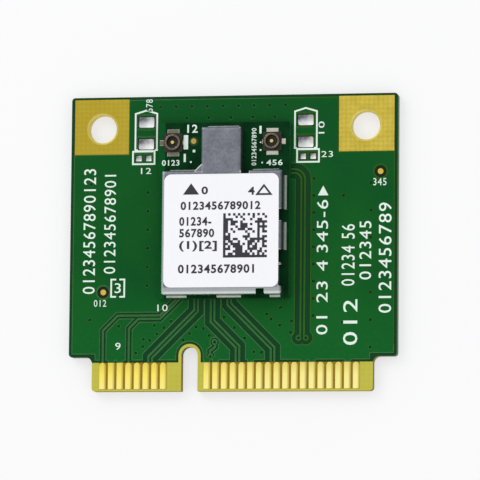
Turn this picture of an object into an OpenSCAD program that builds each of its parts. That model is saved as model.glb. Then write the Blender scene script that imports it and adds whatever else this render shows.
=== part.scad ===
// Half-size radio card: a keyed carrier board with edge contacts and a shielded radio module.
// The component side faces +Z and the edge contacts face -Y. All sizes are in millimetres.
// The origin is the centre of the outline, on the face that the card rests on.

/* [Carrier board] */
// Width of the outline, side to side
board_w = 30.0; // [25:0.1:36]
// Depth of the outline, from the contact edge to the far edge
board_d = 26.8; // [22:0.1:33]
// Thickness of the bare laminate
board_t = 0.9; // [0.6:0.05:1.6]
// Radius of the outer corners
corner_r = 0.3; // [0.1:0.05:0.8]
// Step from each side of the outline in to the contact tongue
shoulder_w = 2.15; // [1.5:0.05:4]
// Length of the contact tongue
tongue_l = 3.1; // [2.5:0.1:4.5]
// Radius in the corner between shoulder and tongue
shoulder_r = 0.6; // [0.2:0.05:1]

/* [Key notch] */
// Width of the notch
notch_w = 1.5; // [1:0.1:2.5]
// Depth of the notch from the contact edge to the top of its round end
notch_d = 4.0; // [3:0.1:5]
// Sideways place of the notch from the middle of the card
notch_x = -3.85; // [-6:0.05:6]
// Width of the bare lip around the notch
notch_lip = 0.28; // [0.2:0.02:0.8]

/* [Edge contacts] */
// Distance from one contact to the next
contact_pitch = 0.8; // [0.6:0.05:1.2]
// Width of one contact
contact_w = 0.6; // [0.3:0.05:0.9]
// Gap between the contact edge of the board and the contacts
contact_edge_gap = 0.2; // [0.1:0.05:0.6]
// Bare laminate kept between the last contact and the side of the tongue
contact_side_gap = 0.45; // [0.2:0.05:1.5]
// First front contact to the left of the notch, from the notch centre
first_left = 2.4; // [1.6:0.1:4]
// First front contact to the right of the notch, from the notch centre
first_right = 1.6; // [1.4:0.1:4]
// First back contact on either side of the notch, from the notch centre
first_back = 2.0; // [1.5:0.1:4]

/* [Mounting holes] */
// Finished diameter of the plated holes
hole_d = 2.6; // [2:0.1:3.2]
// Distance from the side of the board to a hole centre
hole_side = 2.9; // [2.2:0.05:4]
// Distance from the far edge of the board to a hole centre
hole_far = 2.9; // [2.2:0.05:4]
// Side of the square metal pads around the holes
pad_w = 5.06; // [4:0.02:5.6]
// Masked border between the pads and the sides of the board
pad_side_gap = 0.3; // [0.1:0.05:0.8]
// Masked border between the pads and the far edge of the board
pad_far_gap = 0.2; // [0.1:0.05:0.8]
// Wall of the plating in the holes
barrel_t = 0.05; // [0.03:0.01:0.1]

/* [Foil and mask] */
// Thickness of the copper foil
foil_t = 0.035; // [0.02:0.005:0.07]
// Thickness of the green mask over the foil
mask_t = 0.025; // [0.015:0.005:0.04]
// Bare border between the ground foil and the edge of the board
pullback = 0.28; // [0.2:0.05:1]
// Width of a signal track
track_w = 0.12; // [0.1:0.01:0.25]
// Centre distance of the two tracks in a pair
pair_gap = 0.34; // [0.3:0.02:0.6]
// Width of the foil-free channel around a pair
pair_channel = 1.42; // [1:0.02:1.8]
// Width of the foil-free channel around a single track
single_channel = 0.58; // [0.36:0.02:0.8]
// Diameter of a stitching via
via_d = 0.26; // [0.2:0.02:0.4]

/* [Radio module] */
// Width of the module board
module_width = 12.0; // [10:0.1:14.4]
// Depth of the module board
module_depth = 16.0; // [13:0.1:19.2]
// Thickness of the module board
module_t = 0.55; // [0.4:0.05:1]
// Sideways place of the module from the middle of the card
module_x = -0.71; // [-2:0.01:2]
// Border of carrier left free beyond the far edge of the module
module_far = 2.52; // [1:0.05:5]
// Height of the solder joints that carry the module
joint_h = 0.08; // [0.05:0.01:0.2]
// Distance from one solder joint to the next
joint_pitch = 0.8; // [0.6:0.05:1.5]

/* [Shield can] */
// Height of the shield can above the module
shield_h = 1.25; // [0.9:0.05:2]
// Sheet thickness of the shield can
shield_t = 0.15; // [0.1:0.01:0.25]
// Radius of the bends along the top edges
shield_r = 0.26; // [0.2:0.02:0.5]
// Margin of module board left, right and near the contact edge
shield_margin = 0.45; // [0.3:0.05:1]
// Depth of the wide part of the can
shield_d = 11.2; // [8:0.1:13]
// Width of the narrow part between the sockets
stem_w = 3.65; // [2.5:0.05:4.5]
// Height of the openings under the walls
foot_gap = 0.38; // [0.2:0.02:0.6]

/* [Label] */
// Margin between the label and the sides of the can
label_margin = 0.3; // [0.2:0.05:1]
// Corner radius of the label
label_r = 0.65; // [0.2:0.05:1.5]
// Thickness of the label
label_t = 0.08; // [0.05:0.01:0.2]

/* [Antenna sockets] */
// Outer diameter of the socket ring
socket_d = 1.44; // [1.2:0.02:2]
// Inner diameter of the socket ring
socket_bore = 1.06; // [0.8:0.02:1.6]
// Height of the ring above the module
socket_h = 0.6; // [0.4:0.05:1.2]
// Side of the square moulding under the ring
socket_body = 1.72; // [1.5:0.02:2.6]
// Reach of the soldered lugs from the socket centre
socket_reach = 1.22; // [1:0.02:1.8]
// Distance from the left edge of the module to the left socket
socket_left = 1.31; // [1.25:0.01:2]
// Distance from the right edge of the module to the right socket
socket_right = 1.59; // [1.25:0.01:2]
// Distance from the far edge of the module to the sockets
socket_far = 1.82; // [1.3:0.01:3]

/* [Hidden] */
$fn = 48;
slack = 0.01;

half_w = board_w / 2;
half_d = board_d / 2;
shoulder_y = -half_d + tongue_l;
tongue_x = half_w - shoulder_w;
notch_top = -half_d + notch_d;
mask_end = shoulder_y - 0.5;
contact_low = -half_d + contact_edge_gap;
contact_top = mask_end - 0.02;
plane_low = mask_end + 0.22;
hole_x = half_w - hole_side;
hole_y = half_d - hole_far;
pad_in_x = half_w - pad_side_gap - pad_w;
pad_in_y = half_d - pad_far_gap - pad_w;

// Heights, from the resting face up
lam_low = foil_t + mask_t;
lam_top = lam_low + board_t;
foil_top = lam_top + foil_t;
card_top = foil_top + mask_t;
plating_t = 0.008;
module_low = card_top + joint_h;
module_top = module_low + module_t;
module_film = 0.03;
module_face = module_top + module_film;
shield_top = module_face + shield_h;

// The module keeps clear of the notch
module_w = module_width;
module_d = min(module_depth, board_d - module_far - notch_d - notch_lip - 0.5);
module_y = half_d - module_far - module_d / 2;
module_left = module_x - module_w / 2;
module_right = module_x + module_w / 2;
module_near = module_y - module_d / 2;
module_back = module_y + module_d / 2;

// Wide and narrow part of the can
can_left = module_left + shield_margin + 0.07;
can_right = module_right - shield_margin;
can_near = module_near + shield_margin - 0.16;
can_far = can_near + min(shield_d, module_d - socket_far - socket_reach - 0.6 - shield_margin);
can_end = module_back - 0.55;
can_w = can_right - can_left;
can_d = can_far - can_near;
can_x = (can_left + can_right) / 2;
can_y = (can_near + can_far) / 2;
stem_x = module_x - 0.075;
stem_d = can_end - can_near;
stem_room = can_end - can_far;

socket_y = module_back - socket_far;
signal_reach = 0.9;
socket_xs = [module_left + socket_left, module_right - socket_right];

// Contacts that fit on each side of the notch
count_left = fit_count(notch_x + tongue_x - first_left);
count_right = fit_count(tongue_x - notch_x - first_right);
count_back_left = fit_count(notch_x + tongue_x - first_back);
count_back_right = fit_count(tongue_x - notch_x - first_back);
// Contacts that run straight into the ground foil
ground_left = [5, 6];
ground_right = [0, 1, 5, 11, 12, 16];

function fit_count(room) = floor((room - contact_w / 2 - contact_side_gap) / contact_pitch) + 1;
function left_x(k) = notch_x - first_left - k * contact_pitch;
function right_x(k) = notch_x + first_right + k * contact_pitch;
function back_x(k) = notch_x + first_back + k * contact_pitch;

// Routes of the tracks, from the module to the contacts
land_in = 0.62;
track_top = module_near + land_in;
pair_tops = [module_x - 2.57, module_x - 1.06, module_x + 0.46];
pair_ends = [left_x(1.5), right_x(3.5), right_x(7.5)];
pair_bends = [module_near - 1.02, module_near - 1.98, module_near - 0.43];
pair_routes = [for (i = [0 : 2]) dogleg(pair_tops[i], pair_bends[i], pair_ends[i])];
single_x = module_x - 4.31;
single_routes = [
    single(left_x(7), 1.36, module_near - 1.42, single_x - pair_gap / 2),
    single(left_x(4), 0.86, module_near - 1.73, single_x + pair_gap / 2)
];

// Side pair: out of the module, round a bend and down to two vias
side_x = module_right + 1.14;
side_y = module_y + 3.55;
side_low = max(module_near - 3.53, contact_top + 1.9);
side_r = 0.82;
side_route = concat(
    [[module_right - land_in, side_y]],
    [for (a = [90 : -15 : 0]) [side_x - side_r + side_r * cos(a), side_y - side_r + side_r * sin(a)]],
    [[side_x, side_low]]
);
side_vias = [for (s = [-1, 1]) [side_x + s * 0.33, side_low]];
back_route = [
    [side_x, side_low],
    [side_x, side_low - 0.5],
    [back_x(10.5), side_low - 0.5 - abs(back_x(10.5) - side_x)],
    [back_x(10.5), contact_top - 0.1]
];

// Short bent link with a via at each end, beside the notch
link_ends = [[notch_x + 2.3, notch_top + 0.42], [notch_x + 1.92, notch_top - 0.9]];
link_route = [link_ends[0], link_ends[0] + [0.06, -0.42], link_ends[1] + [-0.04, 0.5], link_ends[1]];

function dogleg(x_top, y_bend, x_end) = [
    [x_top, track_top],
    [x_top, y_bend],
    [x_end, max(y_bend - abs(x_end - x_top), contact_top + 0.35)],
    [x_end, contact_top - 0.1]
];
function single(x_low, cut, y_level, x_top) = [
    [x_low, contact_top - 0.1],
    [x_low, y_level - cut],
    [x_low + cut, y_level],
    [x_top - (module_near - y_level), y_level],
    [x_top, module_near],
    [x_top, track_top]
];

// Rows of stitching vias: first point, last point, how many. Their places are shares of the
// room below the module and beside it
low_room = module_near - shoulder_y;
side_room = module_back - module_near;
via_clear = 0.1;
link_channel = 0.56;
via_rows = [
    [[side_x + 0.98, side_y - 0.7], [side_x + 0.98, side_low + 2.0], 9],
    [[side_x - 0.9, side_y - 3.75], [side_x - 0.9, side_low + 4.9], 5],
    [[side_x - 0.9, side_low + 2.55], [side_x - 1.05, side_low + 0.5], 3],
    [below(side_x - 2.0, 0.15), below(side_x - 2.05, 0.46), 2],
    [below(module_x + 2.88, 0.32), below(module_x + 5.34, 0.87), 5],
    [below(module_x + 3.9, 0.26), below(module_x + 4.3, 0.35), 2],
    [below(module_x + 0.0, 0.31), below(module_x + 1.9, 0.68), 3],
    [below(module_x + 2.75, 0.92), below(module_x + 3.45, 0.93), 2],
    [below(module_x - 1.9, 0.51), below(module_x - 1.35, 0.63), 2],
    [below(module_x - 2.55, 0.48), below(module_x - 3.75, 0.71), 3],
    [below(module_x - 4.85, 0.38), below(module_x - 8.1, 0.93), 6],
    [below(module_x - 6.4, 0.45), below(module_x - 7.4, 0.69), 2],
    [below(-half_w + 1.9, 0.35), beside(-half_w + 1.9, 0.66), 6],
    [below(-half_w + 4.6, 0.46), beside(-half_w + 4.6, 0.03), 2],
    [beside(module_left - 1.1, 0.08), beside(module_left - 1.1, 0.61), 6],
    [below(half_w - 2.4, 0.85), beside(half_w - 2.4, 0.65), 7],
    [below(half_w - 4.9, 0.42), beside(half_w - 4.9, 0.58), 4],
    [[-pad_in_x + 2.9, half_d - 0.95], [pad_in_x - 4.9, half_d - 0.95], 9],
    [[module_x - 3.6, module_back + 0.5], [module_x + 4.5, module_back + 0.5], 5]
];
via_points = [
    for (row = via_rows, i = [0 : row[2] - 1])
        let (p = row[0] + (row[1] - row[0]) * i / (row[2] - 1))
            if (track_room(p) > via_d / 2 + via_clear) p
];
function below(x, share) = [x, module_near - share * low_room];
function beside(x, share) = [x, module_near + share * side_room];
// Free foil between a point and the nearest channel on either face
function track_room(p) = min(concat(
    [for (route = concat(pair_routes, [side_route, back_route])) route_gap(p, route) - pair_channel / 2],
    [for (route = single_routes) route_gap(p, route) - single_channel / 2],
    [route_gap(p, link_route) - link_channel / 2]
));
function route_gap(p, route) = min([for (i = [1 : len(route) - 1]) segment_gap(p, route[i - 1], route[i])]);
function segment_gap(p, a, b) =
    let (t = (p - a) * (b - a) / ((b - a) * (b - a)))
    norm(p - a - max(0, min(1, t)) * (b - a));
ringed_vias = concat(side_vias, link_ends);

fiducial_points = [[-half_w + 3.13, module_near + 0.7], [half_w - 1.54, hole_y - 4.19]];
fiducial_d = 0.52;
fiducial_clear = 1.1;

// Empty lands: place of the middle and size, for the left and the right of the module
land_w = 1.45;
land_h = 1.0;
chip_h = 0.55;
// The lands stand between the module and the pads, at a share of that room
land_xs = [
    module_left - 0.452 * (module_left + pad_in_x),
    module_right + 0.305 * (pad_in_x - module_right)
];
land_y = hole_y + 0.57;
land_list = [
    for (x = land_xs) each [
        [x, land_y, land_w, land_h],
        [x, land_y - 2.0, land_w, land_h],
        [x - 0.46 + 0.23 * sign(x), land_y - 3.3, chip_h, chip_h],
        [x + 0.46 + 0.23 * sign(x), land_y - 3.3, chip_h, chip_h]
    ]
];

// Joints between module and carrier: place of the middle and size
joint_w = 0.4;
joint_l = 0.8;
lead_w = 0.26;
end_xs = [for (t = spaced(floor((module_w - 2.2) / joint_pitch), joint_pitch)) module_x + t];
side_ys = [for (t = spaced(floor((module_d - 1.2) / joint_pitch), joint_pitch)) module_y + t];
lead_xs = concat(pair_tops, [single_x]);
joint_list = concat(
    [for (y = side_ys) [module_left + land_in, y, joint_l, joint_w]],
    [for (y = side_ys) if (abs(y - side_y) > 0.6) [module_right - land_in, y, joint_l, joint_w]],
    [for (x = end_xs) [x, module_back - land_in, joint_w, joint_l]],
    [for (x = end_xs) if (min([for (p = lead_xs) abs(x - p)]) > 0.6) [x, track_top, joint_w, joint_l]],
    [for (x = lead_xs, s = [-1, 1]) [x + s * pair_gap / 2, track_top, lead_w, joint_l]],
    [for (s = [-1, 1]) [module_right - land_in, side_y + s * pair_gap / 2, joint_l, lead_w]]
);

// Parts under the can
radio_size = [6.0, 6.0, 0.75];
radio_at = [can_x, can_y];
memory_size = [1.5, 2.4, 0.6];
memory_at = [can_left + 1.25, can_y + 1.6];
front_end_size = [2.0, 1.6, 0.5];
front_end_at = [for (s = [-1, 1]) [can_x + s * 2.2, can_far - 1.25]];
crystal_size = [1.6, 2.0, 0.5];
crystal_at = [can_left + 1.25, can_near + 1.75];
inductor_size = [1.6, 2.0, 0.9];
inductor_at = [can_right - 1.2, can_near + 1.75];
filter_size = [1.6, 0.8, 0.6];
filter_at = [for (share = [0.14, 0.48]) [stem_x, can_far + share * stem_room]];
chip_lift = 0.03;
small_size = [1.0, 0.5];
cap_at = concat(
    [for (i = [0 : 3]) [can_x - 2.1 + i * 1.4, can_near + 0.75, 0]],
    [for (i = [0 : 3]) [can_right - 0.75, can_y - 0.9 + i * 1.4, 90]],
    [for (i = [0, 1]) [can_left + 1.3, can_near + 3.5 + i * 0.8, 0]],
    [[stem_x, can_far + 0.73 * stem_room, 0]]
);
res_at = concat(
    [for (i = [0 : 3]) [can_x - 2.1 + i * 1.4, can_near + 1.6, 0]],
    [for (i = [0 : 1]) [can_right - 1.55, can_y + 0.5 + i * 1.4, 90]]
);

function spaced(n, pitch) = [for (i = [0 : n - 1]) (i - (n - 1) / 2) * pitch];
function unit(v) = v / norm(v);
function left_of(v) = [-v[1], v[0]];
// Point i of a route, moved sideways by s and mitred at the bends
function moved(route, i, s) =
    let (last = len(route) - 1)
    let (after = unit(route[min(i + 1, last)] - route[min(i, last - 1)]))
    let (before = unit(route[max(i, 1)] - route[max(i - 1, 0)]))
    let (m = unit(left_of(after) + left_of(before)))
    route[i] + m * s / (m * left_of(after));

// Strip that follows a route between two sideways distances
module strip(route, a, b) {
    last = len(route) - 1;
    polygon(concat(
        [for (i = [0 : last]) moved(route, i, a)],
        [for (i = [last : -1 : 0]) moved(route, i, b)]
    ));
}

module pair_tracks(route, extra = 0) {
    for (s = [-1, 1])
        strip(route, s * pair_gap / 2 - track_w / 2 - extra, s * pair_gap / 2 + track_w / 2 + extra);
}

module rounded(w, d, r) {
    square([w - 2 * r, d], center = true);
    square([w, d - 2 * r], center = true);
    for (x = [-1, 1], y = [-1, 1])
        translate([x * (w / 2 - r), y * (d / 2 - r)])
            circle(r);
}

module boxes(list, extra = 0) {
    for (b = list)
        translate([b[0], b[1]])
            square([b[2] + 2 * extra, b[3] + 2 * extra], center = true);
}

// Key notch, grown by g
module notch(g = 0) {
    w = notch_w + 2 * g;
    translate([notch_x - w / 2, -half_d - 1])
        square([w, notch_d - notch_w / 2 + 1]);
    translate([notch_x, notch_top - notch_w / 2])
        circle(w / 2);
}

module outline() {
    difference() {
        union() {
            translate([0, (half_d + shoulder_y) / 2])
                rounded(board_w, half_d - shoulder_y, corner_r);
            translate([0, -half_d + (tongue_l + 2) / 2])
                rounded(2 * tongue_x, tongue_l + 2, corner_r);
            for (s = [-1, 1])
                difference() {
                    translate([s * (tongue_x + shoulder_r / 2), shoulder_y - shoulder_r / 2 + 0.1])
                        square([shoulder_r, shoulder_r + 0.2], center = true);
                    translate([s * (tongue_x + shoulder_r), shoulder_y - shoulder_r])
                        circle(shoulder_r);
                }
        }
        notch();
    }
}

// Corner areas that the ground foil leaves to the mounting pads
module pad_corners() {
    for (s = [-1, 1])
        translate([s * (pad_in_x + 3.5), pad_in_y + 3.5])
            square(7, center = true);
}

module pad_squares() {
    for (s = [-1, 1])
        translate([s * (pad_in_x + pad_w / 2), pad_in_y + pad_w / 2])
            square(pad_w, center = true);
}

// Area of a ground foil, grown by g
module plane(g = 0) {
    difference() {
        union() {
            translate([-half_w + pullback - g, shoulder_y + pullback - g])
                square([board_w - 2 * pullback + 2 * g, half_d - shoulder_y - 2 * pullback + 2 * g]);
            translate([-tongue_x + pullback - g, plane_low - g])
                square([2 * (tongue_x - pullback + g), 2]);
        }
        notch(notch_lip + 0.22 - g);
        pad_corners();
    }
}

// Channels cut into the front foil, narrowed by g on each side
module front_channels(g = 0) {
    for (route = pair_routes)
        strip(route, -pair_channel / 2 + g, pair_channel / 2 - g);
    for (route = single_routes)
        strip(route, -single_channel / 2 + g, single_channel / 2 - g);
    strip(side_route, -pair_channel / 2 + g, pair_channel / 2 - g);
    for (p = side_vias)
        translate(p)
            circle(0.62 - g);
    strip(link_route, -link_channel / 2 + g, link_channel / 2 - g);
    for (p = link_ends)
        translate(p)
            circle(0.42 - g);
}

// Signal tracks on the front, widened by g on each side
module front_tracks(g = 0) {
    for (route = pair_routes)
        pair_tracks(route, g);
    for (route = single_routes)
        strip(route, -track_w / 2 - g, track_w / 2 + g);
    pair_tracks(side_route, g);
    strip(link_route, -track_w / 2 - g, track_w / 2 + g);
    for (p = ringed_vias)
        translate(p)
            circle(0.24 + g);
}

// Necks that join the ground contacts to the foil, widened by g
module ground_necks(g = 0) {
    for (k = ground_left)
        if (k < count_left)
            translate([left_x(k) - contact_w / 2 - g, contact_top])
                square([contact_w + 2 * g, shoulder_y - contact_top]);
    for (k = ground_right)
        if (k < count_right)
            translate([right_x(k) - contact_w / 2 - g, contact_top])
                square([contact_w + 2 * g, shoulder_y - contact_top]);
}

// Foil-free frame under the rim of the module
module rim_gap() {
    difference() {
        translate([module_x, module_y])
            square([module_w - 0.2, module_d - 0.2], center = true);
        translate([module_x, module_y])
            square([module_w - 2.4, module_d - 2.4], center = true);
    }
}

module via_dots(d) {
    for (p = via_points)
        translate(p)
            circle(d / 2, $fn = 24);
}

module ring_dots(d) {
    for (p = ringed_vias)
        translate(p)
            circle(d / 2, $fn = 24);
}

module front_foil() {
    difference() {
        union() {
            difference() {
                plane();
                front_channels();
                rim_gap();
                boxes(land_list, 0.2);
                for (p = fiducial_points)
                    translate(p)
                        circle(fiducial_clear / 2 + 0.1);
            }
            ground_necks();
            difference() {
                front_tracks();
                translate([0, contact_top - 5])
                    square([board_w, 10], center = true);
            }
            boxes(joint_list);
        }
        via_dots(via_d);
        ring_dots(via_d);
    }
}

module back_foil() {
    difference() {
        union() {
            difference() {
                plane();
                strip(back_route, -pair_channel / 2, pair_channel / 2);
                for (p = side_vias)
                    translate(p)
                        circle(0.55);
                for (p = link_ends)
                    translate(p)
                        circle(0.42);
            }
            difference() {
                pair_tracks(back_route);
                translate([0, contact_top - 5])
                    square([board_w, 10], center = true);
            }
            for (p = ringed_vias)
                translate(p)
                    circle(0.24);
        }
        via_dots(via_d);
        ring_dots(via_d);
    }
}

// Masked area of either face
module mask_area() {
    difference() {
        intersection() {
            outline();
            translate([0, mask_end + 50])
                square([board_w + 2, 100], center = true);
        }
        notch(notch_lip);
        pad_squares();
    }
}

module carrier_board() {
    color([0.72, 0.70, 0.28])
    translate([0, 0, lam_low])
        linear_extrude(board_t)
            difference() {
                outline();
                for (s = [-1, 1])
                    translate([s * hole_x, hole_y])
                        circle(hole_d / 2 + barrel_t);
                via_dots(via_d);
                ring_dots(via_d);
            }
}

module front_copper() {
    color([0.78, 0.48, 0.28])
    translate([0, 0, lam_top])
        linear_extrude(foil_t)
            front_foil();
}

module back_copper() {
    color([0.78, 0.48, 0.28])
    translate([0, 0, mask_t])
        linear_extrude(foil_t)
            back_foil();
}

module plated_vias() {
    color([0.80, 0.52, 0.32])
    translate([0, 0, mask_t])
        linear_extrude(foil_top - mask_t) {
            via_dots(via_d);
            ring_dots(via_d);
        }
}

// The mask flows over the foil and sinks where the foil is cut away
module front_mask() {
    cover = 0.03;
    color([0.11, 0.37, 0.16])
    translate([0, 0, lam_top])
        difference() {
            linear_extrude(foil_t + mask_t)
                difference() {
                    mask_area();
                    boxes(land_list, 0.06);
                    boxes(joint_list, 0.05);
                    for (p = fiducial_points)
                        translate(p)
                            circle(fiducial_clear / 2);
                }
            translate([0, 0, -1])
                linear_extrude(foil_t + 1) {
                    front_foil();
                    via_dots(via_d + slack);
                    ring_dots(via_d + slack);
                }
            translate([0, 0, mask_t])
                linear_extrude(1)
                    difference() {
                        union() {
                            difference() {
                                square([board_w + 2, board_d + 2], center = true);
                                plane(cover);
                            }
                            front_channels(cover);
                        }
                        front_tracks(cover);
                        ground_necks(cover);
                        boxes(joint_list, 0.2);
                    }
            translate([0, 0, foil_t + mask_t - 0.018])
                linear_extrude(1) {
                    via_dots(via_d);
                    ring_dots(via_d - 0.04);
                }
        }
}

module back_mask() {
    color([0.11, 0.37, 0.16])
        difference() {
            linear_extrude(foil_t + mask_t)
                mask_area();
            translate([0, 0, mask_t])
                linear_extrude(1) {
                    back_foil();
                    via_dots(via_d + slack);
                    ring_dots(via_d + slack);
                }
            translate([0, 0, -1])
                linear_extrude(1 + 0.018)
                    via_dots(via_d);
        }
}

// One contact with its upper end round, or square where it runs on into the ground foil
module contact(x, grounded) {
    r = contact_w / 2;
    translate([x - r, contact_low])
        square([contact_w, contact_top - contact_low - (grounded ? 0 : r)]);
    if (!grounded)
        translate([x, contact_top - r])
            circle(r);
}

module front_contacts() {
    color([0.95, 0.86, 0.42])
    translate([0, 0, lam_top])
        linear_extrude(foil_t + plating_t) {
            for (k = [0 : count_left - 1])
                contact(left_x(k), len(search(k, ground_left)) > 0);
            for (k = [0 : count_right - 1])
                contact(right_x(k), len(search(k, ground_right)) > 0);
        }
}

module back_contacts() {
    color([0.95, 0.86, 0.42])
    translate([0, 0, lam_low - foil_t - plating_t])
        linear_extrude(foil_t + plating_t) {
            for (k = [0 : count_back_left - 1])
                contact(notch_x - first_back - k * contact_pitch, false);
            for (k = [0 : count_back_right - 1])
                contact(back_x(k), false);
        }
}

// Square pads on both faces, around the plated wall of the hole
module mounting_pads() {
    color([0.86, 0.78, 0.38])
    for (z = [lam_low - foil_t - plating_t, lam_top])
        translate([0, 0, z])
            linear_extrude(foil_t + plating_t)
                difference() {
                    pad_squares();
                    for (s = [-1, 1])
                        translate([s * hole_x, hole_y])
                            circle(hole_d / 2 + barrel_t);
                }
}

// Plated wall of each hole, from the outer face of one pad to that of the other
module barrel_plating() {
    color([0.86, 0.78, 0.38])
    for (s = [-1, 1])
        translate([s * hole_x, hole_y, lam_low - foil_t - plating_t])
            difference() {
                cylinder(h = board_t + 2 * (foil_t + plating_t), r = hole_d / 2 + barrel_t);
                translate([0, 0, -1])
                    cylinder(h = board_t + 3, r = hole_d / 2);
            }
}

module fiducials() {
    color([0.93, 0.85, 0.50])
    for (p = fiducial_points)
        translate([p[0], p[1], lam_top])
            cylinder(h = foil_t + plating_t, d = fiducial_d);
}

// Empty lands, with a low dome of solder
module solder_lands() {
    color([0.80, 0.82, 0.80])
    for (b = land_list)
        translate([b[0], b[1], lam_top]) {
            linear_extrude(foil_t)
                square([b[2], b[3]], center = true);
            translate([0, 0, foil_t])
                linear_extrude(0.03)
                    rounded(b[2] - 0.06, b[3] - 0.06, 0.12);
            translate([0, 0, foil_t + 0.03])
                linear_extrude(0.02)
                    rounded(b[2] - 0.26, b[3] - 0.26, 0.12);
        }
}

module frame_line(route, w = 0.15) {
    strip(route, -w / 2, w / 2);
}

// Printed outlines around the empty lands
module silkscreen() {
    color([0.84, 0.94, 0.88])
    translate([0, 0, card_top])
        linear_extrude(0.012)
            intersection() {
                for (x = land_xs) {
                    s = sign(x - module_x);
                    a = x + s * 0.02 - 1.0;
                    b = x + s * 0.02 + 1.0;
                    frame_line([[a, land_y - 2.55], [a, land_y + 0.78], [x, land_y + 1.08],
                        [b, land_y + 0.78], [b, land_y - 2.55]]);
                    translate([x, land_y - 2.55])
                        square([2.15, 0.15], center = true);
                    translate([x + s * 0.23, land_y - 3.25])
                        difference() {
                            square([2.15, 1.3], center = true);
                            square([1.85, 1.0], center = true);
                        }
                }
                difference() {
                    plane(-0.03);
                    boxes(land_list, 0.06);
                }
            }
}

module module_joints() {
    color([0.75, 0.76, 0.76])
    translate([0, 0, foil_top])
        linear_extrude(mask_t + joint_h)
            boxes(joint_list);
}

module module_board() {
    color([0.16, 0.30, 0.16])
    translate([module_x, module_y, module_low])
        linear_extrude(module_t)
            rounded(module_w, module_d, 0.15);
}

// Feet of the can, as strips: start, end, and the wall they are on
feet = [
    [[can_left + 0.3, can_near], [can_left + 2.16, can_near]],
    [[can_left + 4.91, can_near], [can_left + 7.15, can_near]],
    [[can_left + 9.75, can_near], [can_right - 0.3, can_near]],
    [[can_right, can_near + 4.05], [can_right, can_near + 6.55]],
    [[can_right, can_near + 7.7], [can_right, can_far - 0.4]],
    [[can_left, can_near + 0.4], [can_left, can_near + 4.2]],
    [[can_left, can_near + 6.4], [can_left, can_far - 0.4]],
    [[can_left + 0.5, can_far], [stem_x - stem_w / 2 - 0.75, can_far]],
    [[stem_x + stem_w / 2 + 0.9, can_far], [can_right - 0.5, can_far]],
    [[stem_x - stem_w / 2 + 0.4, can_end], [stem_x + stem_w / 2 - 0.4, can_end]]
];

module foot_strips(w) {
    for (f = feet)
        strip(f, -w / 2, w / 2);
}

// Pads of one socket: two ground bars, a ground tab and the short signal tab
module socket_pads() {
    for (s = [-1, 1])
        translate([0, s * (socket_reach - 0.25)])
            square([1.1, 0.5], center = true);
    translate([-socket_reach, -0.25])
        square([0.4, 0.5]);
    translate([0.6, -0.2])
        square([signal_reach - 0.55, 0.4]);
}

module chip_pads() {
    translate(radio_at) {
        square([radio_size[0] - 2.2, radio_size[1] - 2.2], center = true);
        for (a = [0 : 90 : 270], t = spaced(9, 0.55))
            rotate(a)
                translate([t, radio_size[1] / 2 - 0.25])
                    square([0.28, 0.5], center = true);
    }
    for (s = [-1, 1], t = spaced(4, 0.5))
        translate([memory_at[0] + s * (memory_size[0] / 2 - 0.2), memory_at[1] + t])
            square([0.4, 0.24], center = true);
    for (c = front_end_at, s = [-1, 1], t = spaced(3, 0.6))
        translate([c[0] + t, c[1] + s * (front_end_size[1] / 2 - 0.2)])
            square([0.3, 0.4], center = true);
    for (s = [-1, 1], t = [-1, 1])
        translate([crystal_at[0] + s * 0.45, crystal_at[1] + t * 0.65])
            square([0.6, 0.6], center = true);
    for (t = [-1, 1])
        translate([inductor_at[0], inductor_at[1] + t * 0.72])
            square([1.5, 0.5], center = true);
    for (c = filter_at, s = [-1, 1])
        translate([c[0] + s * 0.6, c[1]])
            square([0.36, 0.7], center = true);
    for (c = concat(cap_at, res_at), s = [-1, 1])
        translate([c[0], c[1]])
            rotate(c[2])
                translate([s * (small_size[0] / 2 - 0.125), 0])
                    square([0.25, small_size[1]], center = true);
}

module module_foil() {
    foot_strips(0.4);
    for (x = socket_xs)
        translate([x, socket_y])
            rotate(x < module_x ? 0 : 180)
                socket_pads();
    translate([module_left + 3.18, module_back - 1.69])
        circle(0.25);
    chip_pads();
}

module module_lands() {
    color([0.88, 0.80, 0.42])
    translate([0, 0, module_top])
        linear_extrude(module_film)
            module_foil();
}

module module_mask() {
    color([0.08, 0.24, 0.14])
    translate([0, 0, module_top])
        linear_extrude(module_film)
            difference() {
                translate([module_x, module_y])
                    rounded(module_w, module_d, 0.15);
                module_foil();
                translate([module_left + 3.18, module_back - 1.69])
                    circle(0.42);
            }
}

// Printed bars beside the sockets
module module_silkscreen() {
    color([0.84, 0.94, 0.88])
    translate([0, 0, module_face])
        linear_extrude(0.012) {
            translate([module_left + 2.25, module_back - 2.4])
                square([0.42, 1.3]);
            translate([stem_x + stem_w / 2 + 0.76, can_far + 0.5])
                square([0.5, can_end - can_far - 0.5]);
        }
}

// Block with its upright corners and upper edges rounded
module soft_block(w, d, h, r) {
    intersection() {
        linear_extrude(h)
            rounded(w, d, r);
        rotate([90, 0, 0])
            translate([0, 0, -d])
                linear_extrude(2 * d)
                    arch(w, h, r);
        rotate([90, 0, 90])
            translate([0, 0, -w])
                linear_extrude(2 * w)
                    arch(d, h, r);
    }
}

module arch(w, h, r) {
    translate([-w / 2, 0])
        square([w, h - r]);
    translate([-w / 2 + r, 0])
        square([w - 2 * r, h]);
    for (s = [-1, 1])
        translate([s * (w / 2 - r), h - r])
            circle(r);
}

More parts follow.
